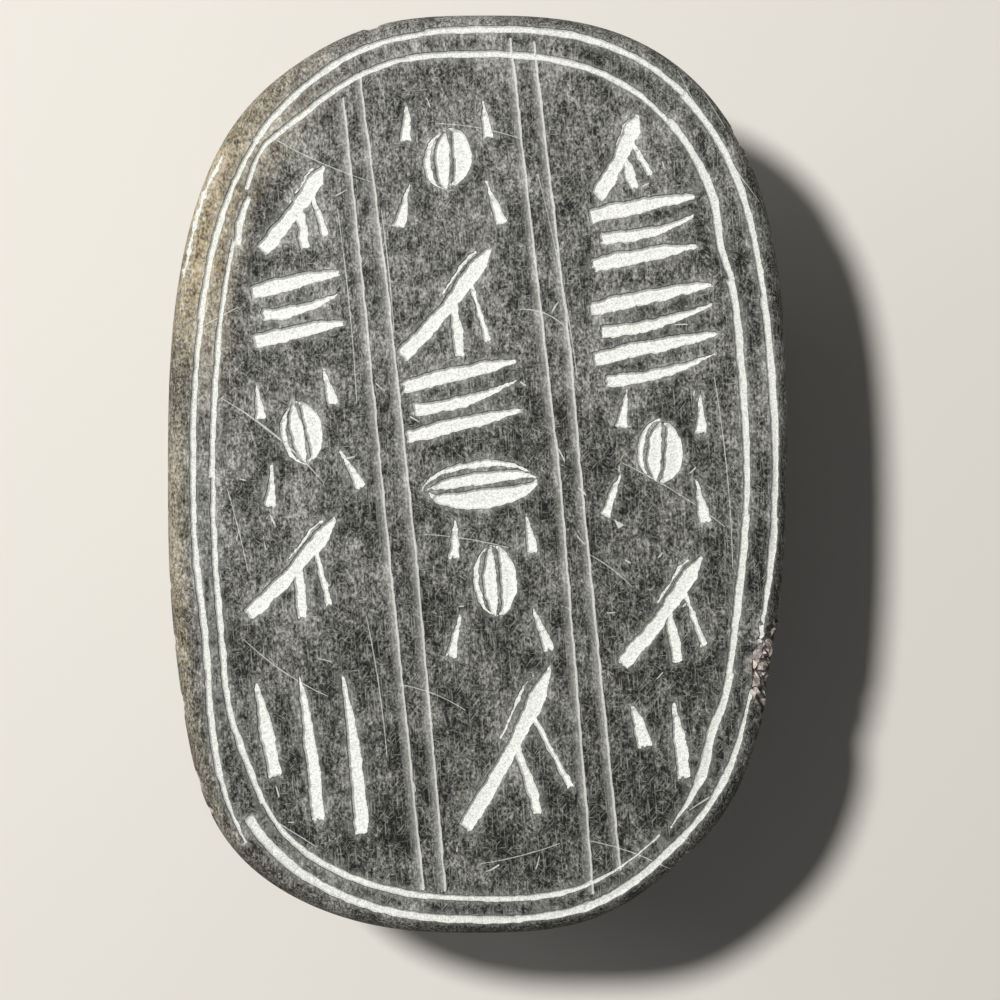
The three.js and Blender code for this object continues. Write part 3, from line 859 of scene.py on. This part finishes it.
# ---------------------------------------------------------------- materials
def linear(text):
    """An sRGB hex colour as linear red, green, blue and alpha."""
    parts = [int(text[i:i + 2], 16) / 255 for i in (1, 3, 5)]
    return tuple(((c + 0.055) / 1.055) ** 2.4 if c > 0.04045 else c / 12.92 for c in parts) + (1,)


def add(tree, kind, settings=None, **links):
    """Adds one node with its settings, and links or sets its inputs by name."""
    node = tree.nodes.new(kind)
    for name, value in (settings or {}).items():
        setattr(node, name, value)
    for name, value in links.items():
        numbered = name[0] == "i" and name[1:].isdigit()
        socket = node.inputs[int(name[1:]) if numbered else name.replace("_", " ")]
        if isinstance(value, bpy.types.NodeSocket):
            tree.links.new(value, socket)
        else:
            socket.default_value = value
    return node


def blackened_soapstone():
    """Soapstone, ground flat on grit and blackened, then cut through to the pale stone.

    The eye sees a dark olive-grey skin with a fine upright grain of grinding marks, cloudy darker
    patches and hair scratches. Every fresh cut is chalky white, because powdered talc scatters light.
    """
    material = bpy.data.materials.new("blackened_soapstone")
    material.use_nodes = True
    tree = material.node_tree
    tree.nodes.clear()
    place = add(tree, "ShaderNodeTexCoord").outputs["Object"]

    def noisy(size, detail=3.0, roughness=0.55, stretch=(1, 1, 1), turn=0.0, shift=0.0):
        """Noise whose features are about size millimetres wide, stretched and turned in plan."""
        mapped = add(tree, "ShaderNodeMapping", {"vector_type": "TEXTURE"}, Vector=place,
                     Rotation=(0, 0, math.radians(turn)), Scale=[size * MM * s for s in stretch],
                     Location=(shift, shift, 0))
        made = add(tree, "ShaderNodeTexNoise", Vector=mapped.outputs[0], Scale=1.0, Detail=detail,
                   Roughness=roughness)
        return made.outputs["Fac"]

    def ramp(value, low, high, bottom=0.0, top=1.0):
        return add(tree, "ShaderNodeMapRange", i0=value, i1=low, i2=high, i3=bottom, i4=top).outputs[0]

    def mix(share, first, second):
        return add(tree, "ShaderNodeMix", {"data_type": "RGBA"}, i0=share, i6=first, i7=second).outputs[2]

    def calc(kind, first, second):
        return add(tree, "ShaderNodeMath", {"operation": kind}, i0=first, i1=second).outputs[0]

    # Grinding on grit leaves short upright marks that lean about 5 degrees. The black has taken
    # unevenly, so that smudges and wider clouds lie over them. Painted shade darkens the skin towards the
    # lower right, the side away from the key lamp.
    grain = noisy(0.17, 3, 0.6, (1, 1.6, 1), 5)
    smudges = noisy(0.5, 3, 0.6, (1, 2.8, 1), 6)
    clouds = noisy(2.6, 4, 0.6, (1, 1.5, 1), 8, 0.85)
    tone = calc("ADD", calc("ADD", grain, calc("MULTIPLY", smudges, 0.45)), calc("MULTIPLY", clouds, 0.62))
    # Painted shade: the tone falls towards the lower right, away from the key lamp.
    down = add(tree, "ShaderNodeVectorMath", {"operation": "DOT_PRODUCT"}, i0=place, i1=(0.9, -1.3, 0))
    tone = calc("SUBTRACT", tone, calc("MULTIPLY", down.outputs["Value"], 1.1))
    tone = calc("POWER", ramp(tone, 0.86, 1.34), 1.9)
    pits = ramp(noisy(0.3, 2, 0.5, (1, 1.2, 1), 5, 0.3), 0.3, 0.37, 1.0, 0.0)
    hair = ramp(noisy(0.1, 1, 0.5, (1, 22, 1), 4), 0.6, 0.74)
    cross = ramp(noisy(0.1, 1, 0.5, (1, 14, 1), -38, 0.2), 0.62, 0.74)
    slant = ramp(noisy(0.1, 1, 0.5, (1, 11, 1), 58, 0.5), 0.62, 0.75)
    level = ramp(noisy(0.1, 1, 0.5, (1, 14, 1), 96, 0.9), 0.64, 0.76)

    skin = mix(tone, linear("#171716"), linear("#b9b9b2"))
    skin = mix(calc("MULTIPLY", pits, 0.9), skin, linear("#0f0f0e"))
    scratches = calc("MAXIMUM", calc("MAXIMUM", hair, level), calc("MAXIMUM", cross, slant))
    skin = mix(calc("MULTIPLY", scratches, 0.42), skin, linear("#c6c6c0"))

    finish = add(tree, "ShaderNodeVertexColor", {"layer_name": "finish"})
    parts = add(tree, "ShaderNodeSeparateColor", Color=finish.outputs["Color"])
    fresh, rubbed, chip = parts.outputs[0], parts.outputs[1], parts.outputs[2]
    worn = finish.outputs["Alpha"]

    # Handling has worn the black off the upper left rim, down to warm tan stone with dark specks.
    tan = mix(calc("POWER", tone, 0.5), linear("#544836"), linear("#dbc9a4"))
    flecks = ramp(noisy(0.5, 4, 0.65, shift=0.4), 0.44, 0.58, 1.0, 0.35)
    skin = mix(calc("MULTIPLY", worn, flecks), skin, tan)

    # The rubbed banks of the rules: the black is thin there, and the grey stone shows through.
    bank = mix(tone, linear("#b0b0ab"), linear("#eeeeea"))
    patchy = ramp(noisy(0.28, 3, 0.6, shift=0.1), 0.4, 0.58, 0.65, 1.0)
    skin = mix(calc("MULTIPLY", rubbed, patchy), skin, bank)

    # Chips show crystalline stone, paler on its edges.
    crystal = ramp(noisy(0.5, 4, 0.7), 0.4, 0.62)
    broken = mix(crystal, linear("#837771"), linear("#fbf1eb"))
    skin = mix(chip, skin, broken)

    # Powdered talc in the cuts, with a few grains of the black skin in it.
    powder = mix(ramp(noisy(0.16, 4, 0.7), 0.34, 0.6), linear("#c2c4be"), linear("#f4f5f1"))
    dirt = ramp(noisy(0.13, 2, 0.5, shift=0.9), 0.3, 0.38, 0.8, 0.0)
    powder = mix(dirt, powder, linear("#8d8d86"))
    # The cut channel also carries the painted highlight on the rules' steep banks.
    colour = mix(fresh, skin, powder)

    # Dry talc is matt, and the rubbed black skin has a low waxy shine.
    waxy = ramp(tone, 0, 1, 0.86, 0.72)
    bare = calc("MAXIMUM", fresh, chip)
    dull = add(tree, "ShaderNodeMix", {"data_type": "FLOAT"}, i0=bare, i2=waxy, i3=0.9)

    bumps = calc("SUBTRACT", calc("MULTIPLY", grain, 1.5), calc("MULTIPLY", scratches, 0.4))
    relief = add(tree, "ShaderNodeBump", Height=bumps, Distance=0.02 * MM, Strength=0.8)
    shader = add(tree, "ShaderNodeBsdfPrincipled", Base_Color=colour, Roughness=dull.outputs[0],
                 Normal=relief.outputs[0], IOR=1.57, Specular_IOR_Level=0.2)
    add(tree, "ShaderNodeOutputMaterial", Surface=shader.outputs[0])
    return material


def matt_paint(name, colour):
    """Matt emulsion on a board: an even, dull surface with no shine."""
    material = bpy.data.materials.new(name)
    material.use_nodes = True
    shader = material.node_tree.nodes["Principled BSDF"]
    shader.inputs["Base Color"].default_value = linear(colour)
    shader.inputs["Roughness"].default_value = 0.9
    return material


# ---------------------------------------------------------------- stage
def make_floor():
    size = 0.6
    corners = [(-size, -size, 0), (size, -size, 0), (size, size, 0), (-size, size, 0)]
    mesh = bpy.data.meshes.new("floor")
    mesh.from_pydata(corners, [], [(0, 1, 2, 3)])
    mesh.materials.append(matt_paint("pale_matt_floor", "#dedad3"))
    floor = bpy.data.objects.new("floor", mesh)
    bpy.context.scene.collection.objects.link(floor)


def aim(thing, target):
    away = Vector(thing.location) - Vector(target)
    thing.rotation_euler = away.to_track_quat("Z", "Y").to_euler()


def add_lamp(name, place, size, power, colour):
    data = bpy.data.lights.new(name, "AREA")
    data.shape = "DISK"
    data.size = size
    data.energy = power
    data.color = linear(colour)[:3]
    lamp = bpy.data.objects.new(name, data)
    lamp.location = place
    aim(lamp, (0, 0, 0.02))
    bpy.context.scene.collection.objects.link(lamp)


def light_stage():
    add_lamp("key_softbox", (-0.20, 0.13, 0.55), 0.06, 3.65, "#fffefb")
    add_lamp("low_side_fill", (-0.45, 0.15, 0.22), 0.2, 0.35, "#fafbff")
    world = bpy.data.worlds.new("soft_room")
    world.use_nodes = True
    background = world.node_tree.nodes["Background"]
    background.inputs["Color"].default_value = linear("#f3f4f6")
    background.inputs["Strength"].default_value = 0.1
    bpy.context.scene.world = world
    bpy.context.scene.view_settings.view_transform = "Standard"


def add_camera():
    """Straight above the stone, a hand's length and a half away, a little off its middle."""
    reach = 0.26
    view = 0.0862
    data = bpy.data.cameras.new("camera")
    data.sensor_width = 36
    data.lens = 36 * reach / view
    data.clip_start = 0.01
    camera = bpy.data.objects.new("camera", data)
    camera.location = (0.00194, -0.00224, FACE * MM + reach)
    bpy.context.scene.collection.objects.link(camera)
    bpy.context.scene.camera = camera


add_camera()
light_stage()
make_floor()
amulet = make_amulet()
amulet.data.materials.append(blackened_soapstone())
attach(amulet, "root")
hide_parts("scarab")
